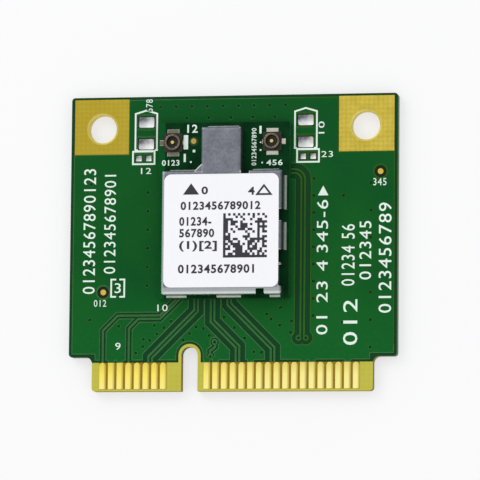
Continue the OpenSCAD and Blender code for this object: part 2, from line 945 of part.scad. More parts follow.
// Wide and narrow part of the can, shrunk by t
module can_form(t) {
    translate([can_x, can_y, 0])
        soft_block(can_w - 2 * t, can_d - 2 * t, shield_h - t, shield_r - t);
    translate([stem_x, (can_near + can_end) / 2, 0])
        soft_block(stem_w - 2 * t, stem_d - 2 * t, shield_h - t, shield_r - t);
    linear_extrude(shield_h - t - (t > 0 ? 0 : 0.04))
        polygon([
            [stem_x - stem_w / 2 - 0.55 + t * 1.4, can_far - 0.3],
            [stem_x - stem_w / 2 - 0.55 + t * 1.4, can_far - t],
            [stem_x - stem_w / 2 + t, can_far + 0.55 - t * 1.4],
            [stem_x - stem_w / 2 + 0.3, can_far + 0.55 - t * 1.4],
            [stem_x - stem_w / 2 + 0.3, can_far - 0.3]
        ]);
}

module opening(x, y, w, d, low, high) {
    translate([x - w / 2, y - d / 2, low])
        cube([w, d, high - low]);
}

// Folded sheet can with feet, openings between the feet and slots in two walls
module shield_can() {
    color([0.55, 0.56, 0.60])
    translate([0, 0, module_face])
        difference() {
            can_form(0);
            translate([0, 0, -slack])
                can_form(shield_t);
            // between the feet of the near wall
            opening(can_left + 3.53, can_near, 2.75, 1, -1, foot_gap);
            opening(can_left + 8.4, can_near, 2.5, 1, -1, foot_gap);
            // slot in the near wall, open through the top bend
            opening(can_left + 8.5, can_near, 1.8, 0.6, -1, shield_h - 0.34);
            opening(can_left + 9.05, can_near, 0.74, 1, 0.3, 2);
            // slots in the right wall, open through the top bend, with a narrow finger between two
            opening(can_right, can_near + 7.12, 0.8, 1.04, -1, 2);
            opening(can_right, can_near + 3.39, 0.8, 1.18, -1, 2);
            opening(can_right, can_near + 1.65, 0.66, 1.9, -1, 2);
            // left wall
            opening(can_left, can_near + 5.3, 1, 2.0, -1, foot_gap);
            // inner corner on the right of the narrow part
            opening(stem_x + stem_w / 2 + 0.38, can_far + 0.05, 0.75, 0.75, -1, 2);
            // both walls of the narrow part
            opening(stem_x + stem_w / 2, can_end - 1.75, 1, 2.2, -1, foot_gap);
            opening(stem_x - stem_w / 2, can_end - 1.6, 1, 1.8, -1, foot_gap);
        }
}

// Solder fillets along the outside of the feet
module shield_solder() {
    color([0.78, 0.79, 0.78])
    translate([0, 0, module_face])
    for (f = feet) {
        along = unit(f[1] - f[0]);
        mid = (f[0] + f[1]) / 2;
        side = abs(along[0]) > 0.5
            ? (mid[1] > can_y ? 1 : -1)
            : (mid[0] > can_x ? 1 : -1);
        turn = abs(along[0]) > 0.5 ? (side > 0 ? 0 : 180) : (side > 0 ? -90 : 90);
        translate([mid[0], mid[1], 0])
            rotate(turn)
                translate([-norm(f[1] - f[0]) / 2, 0, 0])
                    rotate([90, 0, 90])
                        linear_extrude(norm(f[1] - f[0]))
                            polygon([[0, 0], [0.17, 0], [0.13, 0.05], [0.06, 0.1], [0, 0.2]]);
    }
}

module shield_label() {
    color([0.97, 0.97, 0.99])
    translate([can_x - 0.02, can_y + 0.13, shield_top])
        linear_extrude(label_t)
            rounded(can_w - 2 * label_margin + 0.05, can_d - 2 * label_margin - 0.36, label_r);
}

// Ring with a lip over a tapered neck, and three ground lugs; the signal side stays open
module socket_shell() {
    difference() {
        union() {
            rotate_extrude()
                polygon([
                    [socket_bore / 2, 0], [socket_d / 2 - 0.02, 0],
                    [socket_d / 2 - 0.06, socket_h - 0.25], [socket_d / 2 - 0.045, socket_h - 0.2],
                    [socket_d / 2, socket_h - 0.16], [socket_d / 2, socket_h - 0.03],
                    [socket_d / 2 - 0.03, socket_h],
                    [socket_bore / 2 + 0.04, socket_h], [socket_bore / 2, socket_h - 0.04]
                ]);
            for (s = [-1, 1])
                translate([-0.5, s * (socket_reach + socket_bore / 2 + 0.05) / 2 - 0.3, 0])
                    cube([1.0, 0.6 + 0.001, 0.1]);
            translate([-socket_reach, -0.22, 0])
                cube([socket_reach - socket_bore / 2 - 0.05, 0.44, 0.1]);
        }
        translate([0, 0, -1])
            cylinder(h = 3, d = socket_bore);
        translate([socket_bore / 2 - 0.2, -0.18, -1])
            cube([1, 0.36, 1.16]);
    }
}

module socket_pin() {
    cylinder(h = socket_h - 0.12, d = 0.3);
    translate([0, -0.1, 0])
        cube([signal_reach, 0.2, 0.08]);
}

module place_sockets() {
    for (i = [0, 1])
        translate([socket_xs[i], socket_y, module_face])
            rotate(i == 0 ? 0 : 180)
                children();
}

module socket_shells() {
    color([0.72, 0.68, 0.58])
        place_sockets()
            socket_shell();
}

module socket_insulators() {
    color([0.14, 0.13, 0.12])
        place_sockets()
            difference() {
                linear_extrude(0.2)
                    rounded(socket_body, socket_body, 0.12);
                socket_shell();
                socket_pin();
            }
}

module socket_pins() {
    color([0.90, 0.86, 0.60])
        place_sockets()
            socket_pin();
}

module slab(at, size, lift) {
    translate([at[0] - size[0] / 2, at[1] - size[1] / 2, module_face + lift])
        cube(size);
}

module radio_chip() {
    color([0.10, 0.10, 0.11])
        slab(radio_at, radio_size, chip_lift);
}

module memory_chip() {
    color([0.10, 0.10, 0.11])
        slab(memory_at, memory_size, chip_lift);
}

module front_end_chips() {
    color([0.12, 0.12, 0.13])
    for (c = front_end_at)
        slab(c, front_end_size, chip_lift);
}

module crystal_base() {
    color([0.80, 0.76, 0.66])
        slab(crystal_at, [crystal_size[0], crystal_size[1], 0.2], chip_lift);
}

module crystal_lid() {
    color([0.76, 0.76, 0.74])
    translate([crystal_at[0], crystal_at[1], module_face + chip_lift + 0.2])
        linear_extrude(crystal_size[2] - 0.2)
            rounded(crystal_size[0] - 0.2, crystal_size[1] - 0.2, 0.2);
}

module power_inductor() {
    color([0.30, 0.30, 0.31])
        slab(inductor_at, inductor_size, chip_lift);
}

module antenna_filters() {
    color([0.86, 0.84, 0.78])
    for (c = filter_at)
        slab(c, filter_size, chip_lift);
}

// Body of a small part, lying along x before it is turned
module small_body(at, high) {
    translate([at[0], at[1], module_face + chip_lift])
        rotate(at[2])
            translate([-small_size[0] / 2 + 0.25, -small_size[1] / 2, 0])
                cube([small_size[0] - 0.5, small_size[1], high]);
}

module small_ends(at, high) {
    translate([at[0], at[1], module_face + chip_lift])
        rotate(at[2])
            for (s = [-1, 1])
                translate([s * (small_size[0] / 2 - 0.125) - 0.125, -small_size[1] / 2, 0])
                    cube([0.25, small_size[1], high]);
}

module capacitors() {
    color([0.62, 0.48, 0.34])
    for (c = cap_at)
        small_body(c, 0.5);
}

module capacitor_ends() {
    color([0.76, 0.76, 0.75])
    for (c = cap_at)
        small_ends(c, 0.5);
}

module resistors() {
    color([0.10, 0.10, 0.10])
    for (c = res_at)
        small_body(c, 0.32);
}

module resistor_ends() {
    color([0.76, 0.76, 0.75])
    for (c = res_at)
        small_ends(c, 0.32);
}

module chip_solder() {
    color([0.74, 0.75, 0.75])
    translate([0, 0, module_face])
        linear_extrude(chip_lift)
            chip_pads();
}

carrier_board();
front_copper();
back_copper();
plated_vias();
front_mask();
back_mask();
front_contacts();
back_contacts();
mounting_pads();
barrel_plating();
fiducials();
solder_lands();
silkscreen();
module_joints();
module_board();
module_lands();
module_mask();
module_silkscreen();
shield_can();
shield_solder();
shield_label();
socket_shells();
socket_insulators();
socket_pins();
radio_chip();
memory_chip();
front_end_chips();
crystal_base();
crystal_lid();
power_inductor();
antenna_filters();
capacitors();
capacitor_ends();
resistors();
resistor_ends();
chip_solder();
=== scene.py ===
import bpy
import math
import random
from mathutils import Matrix, Vector


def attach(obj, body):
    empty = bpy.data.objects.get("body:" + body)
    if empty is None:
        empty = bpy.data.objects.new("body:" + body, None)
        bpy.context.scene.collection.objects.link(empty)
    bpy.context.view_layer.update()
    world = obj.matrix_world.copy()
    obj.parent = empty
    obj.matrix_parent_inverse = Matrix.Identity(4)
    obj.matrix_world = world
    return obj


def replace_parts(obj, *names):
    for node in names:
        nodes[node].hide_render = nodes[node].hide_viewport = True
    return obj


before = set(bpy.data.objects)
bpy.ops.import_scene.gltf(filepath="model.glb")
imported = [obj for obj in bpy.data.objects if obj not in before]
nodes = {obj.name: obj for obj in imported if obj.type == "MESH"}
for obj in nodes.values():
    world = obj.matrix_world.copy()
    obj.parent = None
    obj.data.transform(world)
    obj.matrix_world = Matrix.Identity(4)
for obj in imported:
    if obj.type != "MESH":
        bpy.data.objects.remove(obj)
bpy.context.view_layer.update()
mm = 0.001
perMetre = 1000.0  # texture scale for a grain of one millimetre
wavesPerMetre = 314.0  # the same for wave bands


# ---- camera first; floor and light come last
viewFrom = {"tiltRight": 10.5, "tiltNear": 6.2, "roll": 0.52, "distance": 0.36,
            "fieldWide": 0.04325, "aimX": 0.72, "aimY": 0.21, "aimZ": 1.2, "sensor": 36,
            "clipNear": 0.01, "clipFar": 20}


def setCamera():
    v = viewFrom
    aim = Vector((v["aimX"], v["aimY"], v["aimZ"])) * mm
    leanRight = math.tan(math.radians(v["tiltRight"]))
    leanNear = math.tan(math.radians(v["tiltNear"]))
    back = Vector((leanRight, -leanNear, 1)).normalized()
    data = bpy.data.cameras.new("cardCamera")
    camera = bpy.data.objects.new("cardCamera", data)
    bpy.context.scene.collection.objects.link(camera)
    camera.location = aim + back * v["distance"]
    data.sensor_width = v["sensor"]
    data.lens = v["sensor"] * v["distance"] / v["fieldWide"]
    data.clip_start = v["clipNear"]
    data.clip_end = v["clipFar"]
    # the board's own Y direction is kept upright in the picture
    forward = -back
    up = (Vector((0, 1, 0)) - forward * forward.y).normalized()
    side = forward.cross(up)
    turn = Matrix((side, up, back)).transposed()
    roll = Matrix.Rotation(math.radians(v["roll"]), 3, "Z")
    camera.rotation_mode = "QUATERNION"
    camera.rotation_quaternion = (turn @ roll).to_quaternion()
    bpy.context.scene.camera = camera


setCamera()
print("camera set")


# ---- a shader socket that can be added, scaled and compared in plain sums
class Wire:
    def __init__(self, finish, socket):
        self.finish = finish
        self.socket = socket

    def maths(self, operation, *others):
        return self.finish.node("ShaderNodeMath", {"operation": operation}, [self, *others])

    def __add__(self, other):
        return self.maths("ADD", other)

    __radd__ = __add__

    def __sub__(self, other):
        return self.maths("SUBTRACT", other)

    def __rsub__(self, other):
        return self.finish.node("ShaderNodeMath", {"operation": "SUBTRACT"}, [other, self])

    def __mul__(self, other):
        return self.maths("MULTIPLY", other)

    __rmul__ = __mul__

    def __truediv__(self, other):
        return self.maths("DIVIDE", other)

    def __gt__(self, other):
        return self.maths("GREATER_THAN", other)

    def __lt__(self, other):
        return self.maths("LESS_THAN", other)

    def most(self, other):
        return self.maths("MAXIMUM", other)

    def whole(self):
        return self.maths("FLOOR")


class Finish:
    # one Principled material; fixed values go straight on the shader's sockets
    def __init__(self, name, **fixed):
        self.material = bpy.data.materials.new(name)
        self.material.use_nodes = True
        self.tree = self.material.node_tree
        self.tree.nodes.clear()
        self.output = self.tree.nodes.new("ShaderNodeOutputMaterial")
        self.shader = self.tree.nodes.new("ShaderNodeBsdfPrincipled")
        self.tree.links.new(self.shader.outputs[0], self.output.inputs[0])
        for label, value in fixed.items():
            self.shader.inputs[label.replace("_", " ")].default_value = value
        self.coords = None

    def feed(self, socket, value):
        if isinstance(value, Wire):
            self.tree.links.new(value.socket, socket)
        elif isinstance(value, (tuple, list)) and len(value) == 3 and socket.type == "RGBA":
            socket.default_value = (*value, 1)
        else:
            socket.default_value = value

    def node(self, kind, settings=None, values=None, out=0):
        made = self.tree.nodes.new(kind)
        for label, value in (settings or {}).items():
            setattr(made, label, value)
        pairs = values.items() if isinstance(values, dict) else enumerate(values or [])
        for label, value in pairs:
            self.feed(made.inputs[label], value)
        return Wire(self, made.outputs[out])

    def place(self):
        if self.coords is None:
            self.coords = self.node("ShaderNodeTexCoord", out="Object")
        return self.coords

    def stretched(self, scale, turn=0.0):
        return self.node("ShaderNodeMapping", None,
                         {"Vector": self.place(), "Scale": scale, "Rotation": (0, 0, turn)})

    def axes(self, where=None):
        split = self.node("ShaderNodeSeparateXYZ", None, [where or self.place()])
        outs = split.socket.node.outputs
        return [Wire(self, outs[i]) for i in range(3)]

    # 1 on faces that look up or down, 0 on upright ones
    def flat(self):
        up = self.axes(self.node("ShaderNodeNewGeometry", out="True Normal"))[2]
        return up.maths("ABSOLUTE") > 0.5

    # noise whose grain is given in millimetres
    def noise(self, grain, detail=3.0, rough=0.5, where=None):
        return self.node("ShaderNodeTexNoise", None,
                         {"Vector": where or self.place(), "Scale": perMetre / grain,
                          "Detail": detail, "Roughness": rough})

    def cells(self, grain):
        return self.node("ShaderNodeTexVoronoi", None,
                         {"Vector": self.place(), "Scale": perMetre / grain})

    # bands across one direction, with their spacing in millimetres
    def bands(self, direction, spacing, wander=1.5):
        return self.node("ShaderNodeTexWave", {"bands_direction": direction},
                         {"Vector": self.place(), "Scale": wavesPerMetre / spacing,
                          "Distortion": wander, "Detail": 1.5, "Detail Scale": 2.5})

    def between(self, value, low, high):
        return self.node("ShaderNodeMapRange", None,
                         {"Value": value, "From Min": low, "From Max": high,
                          "To Min": 0.0, "To Max": 1.0})

    # 0 to 1 from one place to another, both in millimetres
    def fade(self, value, start, stop):
        return self.between(value, start * mm, stop * mm)

    # 1 between two places in millimetres, 0 elsewhere
    def within(self, value, low, high):
        return (value > low * mm) * (value < high * mm)

    def blend(self, share, first, second):
        made = self.tree.nodes.new("ShaderNodeMix")
        made.data_type = "RGBA"
        self.feed(made.inputs[0], share)
        self.feed(made.inputs[6], first)
        self.feed(made.inputs[7], second)
        return Wire(self, made.outputs[2])

    # how far the surface turns away within a small radius, and the softened normal
    def softEdge(self, radius):
        soft = self.node("ShaderNodeBevel", {"samples": 8}, {"Radius": radius * mm})
        true = self.node("ShaderNodeNewGeometry", out="True Normal")
        lean = self.node("ShaderNodeVectorMath", {"operation": "DOT_PRODUCT"}, [soft, true],
                         out="Value")
        return soft, 1 - lean

    def bump(self, height, depth, soft=None, strength=1.0):
        values = {"Height": height, "Distance": depth * mm, "Strength": strength}
        if soft is not None:
            values["Normal"] = soft
        return self.node("ShaderNodeBump", None, values)

    def set(self, **values):
        for label, value in values.items():
            self.feed(self.shader.inputs[label.replace("_", " ")], value)


def rgb(r, g, b):
    # a colour as written on screen, turned into linear light
    shares = [c / 255 for c in (r, g, b)]
    return tuple(((s + 0.055) / 1.055) ** 2.4 if s > 0.04 else s / 12.92 for s in shares)


def wear(name, finish):
    slots = nodes[name].data.materials
    slots.clear()
    slots.append(finish.material)


# ---- solder mask: raised over the foil, sunk and darker where the foil is cut away, partly as painted shade; painted shade in the via dimples, painted highlights on the raised edges
maskLook = {
    "overFoil": (10, 84, 33), "overFoilWarm": (20, 95, 33), "farSide": (14, 83, 35),
    "nearSide": (20, 100, 41), "fleck": (6, 60, 22), "sunkAndShade": (17, 65, 34),
    "shoulder": (104, 150, 96), "shoulderRight": (92, 118, 24), "dimpleShade": (10, 70, 28),
    "highLevel": 1.0105, "lowLevel": 0.992, "edge": 0.11, "rimLean": (0.004, 0.06),
    "farFade": (-6, 13), "nearFade": (-3, -9), "oliveFade": (2, 7), "oliveFrom": -9.3,
}


def maskFinish(name, look, front=True):
    f = Finish(name, Roughness=0.34, Specular_IOR_Level=0.05)
    x, y, z = f.axes()
    cloud = f.noise(7.0, 2.0)
    speck = f.noise(0.35, 4.0, 0.6)
    tone = f.blend(f.between(cloud, 0.35, 0.68), rgb(*look["overFoil"]),
                   rgb(*look["overFoilWarm"]))
    tone = f.blend(f.fade(y, *look["farFade"]) * 0.6, tone, rgb(*look["farSide"]))
    tone = f.blend(f.fade(y, *look["nearFade"]) * 0.7, tone, rgb(*look["nearSide"]))
    tone = f.blend(f.between(speck, 0.3, 0.75) * 0.2, tone, rgb(*look["fleck"]))
    soft, lean = f.softEdge(look["edge"])
    if front:
        high = z > look["highLevel"] * mm
        # everything below the raised level gets painted shade: the via dimples and the lower part
        # of the walls
        tone = f.blend(high, rgb(*look["dimpleShade"]), tone)
        # sunken areas: darker mask over bare laminate, deepened with painted shade in the narrow
        # channels
        tone = f.blend(z < look["lowLevel"] * mm, tone, rgb(*look["sunkAndShade"]))
        # painted highlight along the raised edges and on the walls, olive towards the right
        rim = (f.between(lean, *look["rimLean"]) * high).most(1 - f.flat())
        olive = f.fade(x, *look["oliveFade"]) * (y > look["oliveFrom"] * mm)
        edgeHighlight = f.blend(olive, rgb(*look["shoulder"]), rgb(*look["shoulderRight"]))
        tone = f.blend(rim * (0.35 + 0.4 * f.noise(1.2, 2.0)), tone, edgeHighlight)
    grain = f.noise(0.16, 3.0, 0.6)
    f.set(Base_Color=tone, Roughness=0.30 + speck * 0.14,
          Normal=f.bump(grain, 0.004, soft, 0.6))
    return f


wear("front_mask", maskFinish("greenMaskFront", maskLook))
wear("back_mask", maskFinish("greenMaskBack", maskLook, front=False))


# ---- bare laminate: woven glass under yellowish resin, with painted shade between the contacts, darker in the small windows round the marks, and cut sides darkened as painted shade
rowsAt = {"left": (-12.17, -5.93), "right": (-2.57, 11.67), "along": (-13.22, -10.8),
          "windowsFrom": -8.5, "tongueTo": -10.3}
weaveLook = {"thread": 0.5, "layerScale": 2600.0}


def laminateFinish(name, look):
    f = Finish(name, Roughness=0.5, Specular_IOR_Level=0.1)
    x, y = f.axes()[:2]
    weave = (f.bands("X", weaveLook["thread"]) + f.bands("Y", weaveLook["thread"])) * 0.5
    cloud = f.noise(2.6, 3.0)
    tone = f.blend(weave * 0.25 + cloud * 0.6, rgb(*look["deep"]), rgb(*look["pale"]))
    if "gap" in look:
        # painted shade on the laminate between the edge contacts
        shadedRows = f.within(x, *rowsAt["left"]) + f.within(x, *rowsAt["right"])
        tone = f.blend(shadedRows * f.within(y, *rowsAt["along"]) * 0.9, tone, rgb(*look["gap"]))
        tone = f.blend(y > rowsAt["windowsFrom"] * mm, tone, rgb(*look["window"]))
    layers = f.node("ShaderNodeTexWave", {"bands_direction": "Z"},
                    {"Vector": f.place(), "Scale": weaveLook["layerScale"],
                     "Distortion": 1.2, "Detail": 2.0, "Detail Scale": 2.0})
    # the cut sides are coloured darker and greener than the flat laminate: painted shade on the
    # board's edges; along the tongue they take the olive-brown of the contact rows
    side = f.blend(layers * 0.6 + f.noise(0.12) * 0.4, rgb(*look["cut"]), rgb(*look["cutDeep"]))
    if "gap" in look:
        side = f.blend((y < rowsAt["tongueTo"] * mm) * 0.7, side, rgb(*look["gap"]))
    flat = f.flat()
    tone = f.blend(flat, side, tone)
    f.set(Base_Color=tone, Roughness=0.44 + weave * 0.1,
          Normal=f.bump(weave * flat + layers * (1 - flat), 0.006, f.softEdge(0.06)[0], 0.4))
    return f


wear("carrier_board", laminateFinish("bareLaminate", {
    "pale": (204, 200, 84), "deep": (184, 178, 60), "gap": (146, 112, 14), "window": (26, 38, 14),
    "cut": (78, 116, 62), "cutDeep": (54, 88, 44)}))
wear("module_board", laminateFinish("moduleLaminate", {
    "pale": (50, 88, 46), "deep": (30, 64, 34), "cut": (34, 92, 44), "cutDeep": (18, 60, 28)}))


# ---- metals: foil, plated gold, solder, shield sheet
def foilFinish(name, tone, darker, rough):
    f = Finish(name, Metallic=1.0, Roughness=rough)
    cloud = f.noise(1.4, 4.0, 0.6)
    f.set(Base_Color=f.blend(cloud, rgb(*darker), rgb(*tone)),
          Roughness=rough - 0.08 + cloud * 0.16,
          Normal=f.bump(f.noise(0.08), 0.002, f.softEdge(0.02)[0]))
    return f


foil = foilFinish("copperFoil", (198, 128, 90), (168, 104, 70), 0.4)
for name in ("front_copper", "back_copper", "plated_vias"):
    wear(name, foil)


# edge contacts: bright hard gold with fine rub marks along the way in
contactLook = {
    "yellow": (252, 230, 90), "gold": (250, 239, 146), "rubbed": (214, 196, 76),
    "pale": (250, 243, 164), "shade": (172, 143, 34), "far": (202, 184, 64),
    "goldFade": (-6, 6), "nearHighlightFade": (-11.8, -13.2), "farFade": (-11.9, -10.9),
    "firstEdge": -12.15, "pitch": 0.8, "shadeFrom": 0.5, "shadeTo": 0.64,
}


def contactFinish(look):
    f = Finish("contactGold", Metallic=1.0, Roughness=0.3)
    rubs = f.noise(0.5, 5.0, 0.7, f.stretched((1.0, 0.05, 1.0)))
    x, y = f.axes()[:2]
    tone = f.blend(f.fade(x, *look["goldFade"]), rgb(*look["yellow"]), rgb(*look["gold"]))
    tone = f.blend(f.between(rubs, 0.35, 0.7) * 0.25, tone, rgb(*look["rubbed"]))
    # painted highlight paler towards the near end, painted shade darker towards the far end
    tone = f.blend(f.fade(y, *look["nearHighlightFade"]) * 0.5, tone, rgb(*look["pale"]))
    tone = f.blend(f.fade(y, *look["farFade"]) * 0.6, tone, rgb(*look["far"]))
    # each contact's right edge lies in shade
    turns = (x - look["firstEdge"] * mm) / (look["pitch"] * mm)
    across = turns - turns.whole()
    shaded = f.between(across, look["shadeFrom"], look["shadeTo"]) * 0.7
    tone = f.blend(shaded, tone, rgb(*look["shade"]))
    tone = f.blend(f.noise(1.6, 2.0) * 0.25, tone, rgb(*look["pale"]))
    f.set(Base_Color=tone, Roughness=0.22 + rubs * 0.2,
          Normal=f.bump(rubs, 0.003, f.softEdge(0.05)[0], 0.5))
    return f


# flat pads: thinner, duller gold over a faint weave; painted highlight on a ring round the hole
# and painted light on the right pad
padLook = {
    "gold": (178, 158, 54), "litTone": (212, 193, 82), "dullAndShade": (168, 147, 46),
    "fleck": (146, 125, 34), "rim": (224, 210, 112), "holeX": 12.1, "holeY": 10.5,
    "rimFade": (1.5, 1.36), "litFade": (-12, 12), "thread": 0.42,
}


def padFinish(look):
    f = Finish("padGold", Metallic=1.0, Roughness=0.42)
    x, y = f.axes()[:2]
    dx = x.maths("ABSOLUTE") - look["holeX"] * mm
    dy = y - look["holeY"] * mm
    reach = (dx * dx + dy * dy).maths("SQRT")
    rim = f.fade(reach, *look["rimFade"])
    cloud = f.noise(1.3, 5.0, 0.65)
    fine = f.noise(0.14, 4.0, 0.6)
    weave = (f.bands("X", look["thread"], 1.0) + f.bands("Y", look["thread"], 1.0)) * 0.5
    # painted light: the right pad lighter than the left
    tone = f.blend(f.fade(x, *look["litFade"]), rgb(*look["gold"]), rgb(*look["litTone"]))
    tone = f.blend(f.between(cloud, 0.3, 0.72) * 0.6, tone, rgb(*look["dullAndShade"]))
    tone = f.blend(weave * 0.3, tone, rgb(*look["fleck"]))
    tone = f.blend(f.between(fine, 0.45, 0.8) * 0.3, tone, rgb(*look["fleck"]))
    # painted highlight on the rounded edge of the hole
    tone = f.blend(rim * 0.6, tone, rgb(*look["rim"]))
    f.set(Base_Color=tone, Roughness=0.36 + cloud * 0.14,
          Normal=f.bump(fine + weave * 0.4, 0.004, f.softEdge(0.09)[0], 0.5))
    return f


contactGold = contactFinish(contactLook)
for name in ("front_contacts", "back_contacts"):
    wear(name, contactGold)
padGold = padFinish(padLook)
for name in ("mounting_pads", "barrel_plating"):
    wear(name, padGold)
wear("fiducials", foilFinish("markGold", (222, 192, 98), (196, 164, 74), 0.3))


# solder: rippled tin, with painted shade, darker and greenish, on the can's right feet
solderLook = {"tin": (204, 212, 202), "darker": 0.8, "shadedRightFoot": (104, 124, 106),
              "footFade": (4.7, 4.85)}


def solderFinish(name, look, rough):
    f = Finish(name, Metallic=1.0, Roughness=rough)
    ripple = f.noise(0.3, 3.0, 0.5)
    grain = f.noise(0.05, 2.0)
    shaded = [int(c * look["darker"]) for c in look["tin"]]
    tone = f.blend(ripple, rgb(*look["tin"]), rgb(*shaded))
    # painted shade on the feet at the can's right side
    foot = f.fade(f.axes()[0], *look["footFade"]) * 0.7
    tone = f.blend(foot, tone, rgb(*look["shadedRightFoot"]))
    f.set(Base_Color=tone, Roughness=rough - 0.06 + grain * 0.14,
          Normal=f.bump(ripple + grain * 0.2, 0.02, f.softEdge(0.04)[0], 0.5))
    return f


solder = solderFinish("reflowedSolder", solderLook, 0.28)
for name in ("solder_lands", "module_joints", "shield_solder", "chip_solder",
             "capacitor_ends", "resistor_ends"):
    wear(name, solder)


# module lands: tinned where something is soldered, gold left bare on the small round mark
tinnedLook = {"tin": (196, 203, 194), "dullAndShade": (156, 163, 156), "gold": (178, 150, 76),
              "markX": -3.53, "markY": 9.19, "markReach": 0.4}


def tinnedFinish(look):
    f = Finish("tinnedLands", Metallic=1.0, Roughness=0.32)
    x, y = f.axes()[:2]
    dx, dy = x - look["markX"] * mm, y - look["markY"] * mm
    mark = (dx * dx + dy * dy).maths("SQRT") < look["markReach"] * mm
    ripple = f.noise(0.3, 3.0)
    tone = f.blend(ripple, rgb(*look["tin"]), rgb(*look["dullAndShade"]))
    tone = f.blend(mark, tone, rgb(*look["gold"]))
    f.set(Base_Color=tone, Roughness=0.26 + ripple * 0.14,
          Normal=f.bump(ripple, 0.01, f.softEdge(0.03)[0], 0.5))
    return f


wear("module_lands", tinnedFinish(tinnedLook))


# shield sheet: dull tin with a fine pebbled grain and uneven patches, painted highlights on the
# bends
shieldLook = {
    "plain": (109, 112, 120), "patch": (127, 131, 139), "pebble": (93, 96, 103),
    "glint": (168, 173, 181), "bend": (226, 232, 228), "nearTopHighlight": (164, 169, 171),
    "nearBendHighlight": (218, 225, 220), "wall": (96, 103, 95), "rightBendShade": (58, 68, 59),
    "leftBendHighlight": (168, 180, 176), "edge": 0.2, "nearTopFade": (-4.1, -4.3),
    "nearBendFade": (-4.5, -4.7), "rightFade": (4.6, 4.8), "leftFade": (-5.9, -6.05),
    "wallShadeFade": (2.75, 2.1),
}


def shieldFinish(look):
    f = Finish("shieldTin", Metallic=1.0, Roughness=0.42)
    patch = f.noise(1.3, 4.0, 0.6)
    pebble = f.noise(0.26, 4.0, 0.62)
    dots = f.cells(0.5)
    soft, lean = f.softEdge(look["edge"])
    tone = f.blend(f.between(patch, 0.3, 0.72), rgb(*look["plain"]), rgb(*look["patch"]))
    tone = f.blend(f.between(pebble, 0.46, 0.72) * 0.7, tone, rgb(*look["pebble"]))
    tone = f.blend(f.between(dots, 0.16, 0.0) * 0.6, tone, rgb(*look["glint"]))
    # painted highlight where the surface turns over the bends
    tone = f.blend(f.between(lean, 0.01, 0.12) * (0.6 + 0.4 * patch), tone, rgb(*look["bend"]))
    # folded edges of the main box: painted highlights towards the near and left sides, painted
    # shade to the right and on the lower walls
    x, y, z = f.axes()
    paintedFolds = [(y, "nearTopFade", "nearTopHighlight", 0.85), (y, "nearBendFade", "nearBendHighlight", 0.9),
             (x, "rightFade", "rightBendShade", 0.85), (x, "leftFade", "leftBendHighlight", 0.85),
             (z, "wallShadeFade", "wall", 0.8)]
    for along, span, shade, share in paintedFolds:
        tone = f.blend(f.fade(along, *look[span]) * share, tone, rgb(*look[shade]))
    f.set(Base_Color=tone, Roughness=0.32 + pebble * 0.2, Normal=f.bump(pebble, 0.012, soft, 0.6))
    return f


wear("shield_can", shieldFinish(shieldLook))


# socket rings: tarnished plating, with a painted highlight along the top edge of the ring
socketLook = {
    "plain": (112, 102, 82), "tarnish": (64, 57, 45), "lip": (240, 234, 210),
    "foot": (194, 192, 178), "footDarker": (92, 88, 74), "footTop": 1.85, "footFade": (-2, 2),
}


def socketFinish(look):
    f = Finish("socketPlating", Metallic=1.0, Roughness=0.3)
    cloud = f.noise(0.35, 4.0, 0.6)
    soft, lean = f.softEdge(0.05)
    tone = f.blend(f.between(cloud, 0.3, 0.7), rgb(*look["plain"]), rgb(*look["tarnish"]))
    x, _, z = f.axes()
    # the lugs are lighter towards the right, with a random cloud
    lighterRightward = f.fade(x, *look["footFade"]) * 0.8 + cloud * 0.4 - 0.1
    foot = f.blend(lighterRightward, rgb(*look["footDarker"]), rgb(*look["foot"]))
    tone = f.blend(z < look["footTop"] * mm, tone, foot)
    # painted highlight along the top edge of the ring
    tone = f.blend(f.between(lean, 0.01, 0.12) * (0.4 + 0.5 * cloud), tone, rgb(*look["lip"]))
    f.set(Base_Color=tone, Roughness=0.22 + cloud * 0.2, Normal=f.bump(f.noise(0.07), 0.003, soft))
    return f


wear("socket_shells", socketFinish(socketLook))
wear("socket_pins", foilFinish("pinGold", (222, 206, 132), (194, 174, 98), 0.28))
wear("crystal_lid", foilFinish("lidNickel", (200, 200, 195), (182, 182, 176), 0.3))


# ---- moulded, printed and fired pieces
def mouldedFinish(name, tone, other, rough):
    f = Finish(name, Roughness=rough, Specular_IOR_Level=0.3)
    fine = f.noise(0.06, 3.0, 0.6)
    cloud = f.noise(0.9, 3.0)
    f.set(Base_Color=f.blend(fine * 0.5 + cloud * 0.5, rgb(*tone), rgb(*other)),
          Roughness=rough - 0.08 + fine * 0.16,
          Normal=f.bump(fine, 0.004, f.softEdge(0.04)[0], 0.7))
    return f


wear("socket_insulators", mouldedFinish("socketMoulding", (26, 22, 18), (48, 42, 34), 0.5))
chipBlack = mouldedFinish("chipMoulding", (26, 26, 28), (46, 46, 48), 0.55)
for name in ("radio_chip", "memory_chip", "front_end_chips", "resistors"):
    wear(name, chipBlack)
paleCeramic = mouldedFinish("paleCeramic", (214, 208, 188), (194, 186, 164), 0.5)
for name in ("crystal_base", "antenna_filters"):
    wear(name, paleCeramic)
wear("capacitors", mouldedFinish("brownCeramic", (160, 126, 90), (134, 100, 70), 0.45))
wear("power_inductor", mouldedFinish("greyFerrite", (82, 82, 84), (60, 60, 62), 0.5))


# module mask: darker green with blacker patches, painted light on the left border strip and
# painted highlights along the edges
moduleLook = {"dark": (4, 42, 18), "light": (8, 64, 30), "rim": (50, 100, 60),
              "marginLight": (14, 96, 40), "marginTo": -6.15, "edge": 0.05}


